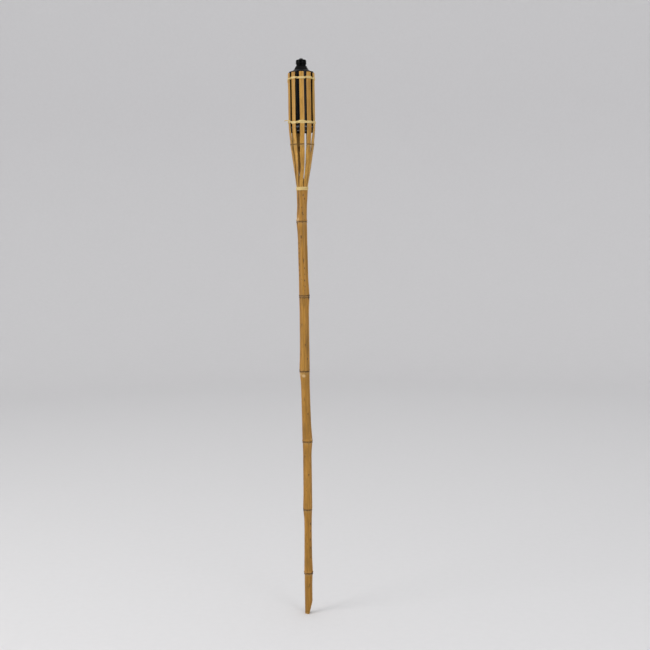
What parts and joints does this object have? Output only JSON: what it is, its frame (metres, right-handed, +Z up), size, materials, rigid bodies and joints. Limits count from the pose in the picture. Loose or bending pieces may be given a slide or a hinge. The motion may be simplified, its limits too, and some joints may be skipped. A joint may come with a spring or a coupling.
{
  "type": "bamboo garden torch",
  "caption": "Bamboo stake torch with a basket of spread slats that holds a black oil canister with a screw-on wick burner and a snuffer cap.",
  "frame": {"origin": "on the axis of the lowest internode, at the level of the stake's tip", "axes": "+Z up along the pole, -Y towards the front slat, +X to the right of someone facing the front"},
  "size_m": [0.058, 0.0584, 1.2018],
  "materials": {
    "bamboo_culm": "clear-lacquered bamboo, satin",
    "bamboo_slat": "split bamboo, satin skin outside",
    "cane_lashing": "split cane, satin",
    "black_tin": "gloss black paint on tinplate",
    "burner_steel": "matte black heat paint on steel",
    "snuffer_enamel": "satin black paint on pressed steel",
    "gasket_rubber": "moulded rubber, matte",
    "wick_fibre": "braided fibre"
  },
  "bodies": {
    "pole": {"culm": "bamboo_culm", "slat_01": "bamboo_slat", "slat_02": "bamboo_slat", "slat_03": "bamboo_slat", "slat_04": "bamboo_slat", "slat_05": "bamboo_slat", "slat_06": "bamboo_slat", "slat_07": "bamboo_slat", "slat_08": "bamboo_slat", "slat_09": "bamboo_slat", "slat_10": "bamboo_slat", "neck_binding": "cane_lashing", "lower_lashing_a": "cane_lashing", "lower_lashing_b": "cane_lashing", "upper_lashing_a": "cane_lashing", "upper_lashing_b": "cane_lashing"},
    "canister": {"can_body": "black_tin", "can_bottom": "black_tin", "can_top": "black_tin", "filler_neck": "burner_steel"},
    "burner": {"neck_gasket": "gasket_rubber", "wick_holder": "burner_steel", "drip_cup": "burner_steel"},
    "collar": {"screw_collar": "burner_steel"},
    "wick": {"wick": "wick_fibre"},
    "snuffer": {"snuffer_cap": "snuffer_enamel"}
  },
  "joints": [
    {"name": "canister_lift", "type": "slide", "parent": "pole", "child": "canister", "axis": [0, 0, 1], "range_m": [0, 0.15]},
    {"name": "burner_rise", "type": "slide", "parent": "canister", "child": "burner", "axis": [0, 0, 1], "range_m": [0, 0.00605]},
    {"name": "collar_turn", "type": "hinge", "parent": "burner", "child": "collar", "pos_m": [0, 0, 1.18], "axis": [0, 0, 1], "range_deg": [0, 720]},
    {"name": "wick_adjust", "type": "slide", "parent": "burner", "child": "wick", "axis": [0, 0, 1], "range_m": [-0.006, 0.0025]},
    {"name": "snuffer_lift", "type": "slide", "parent": "burner", "child": "snuffer", "axis": [0, 0, 1], "range_m": [0, 0.03]}
  ],
  "couplings": [
    {"joint": "burner_rise", "follows": "collar_turn", "m_per_rad": 0.00047746}
  ]
}
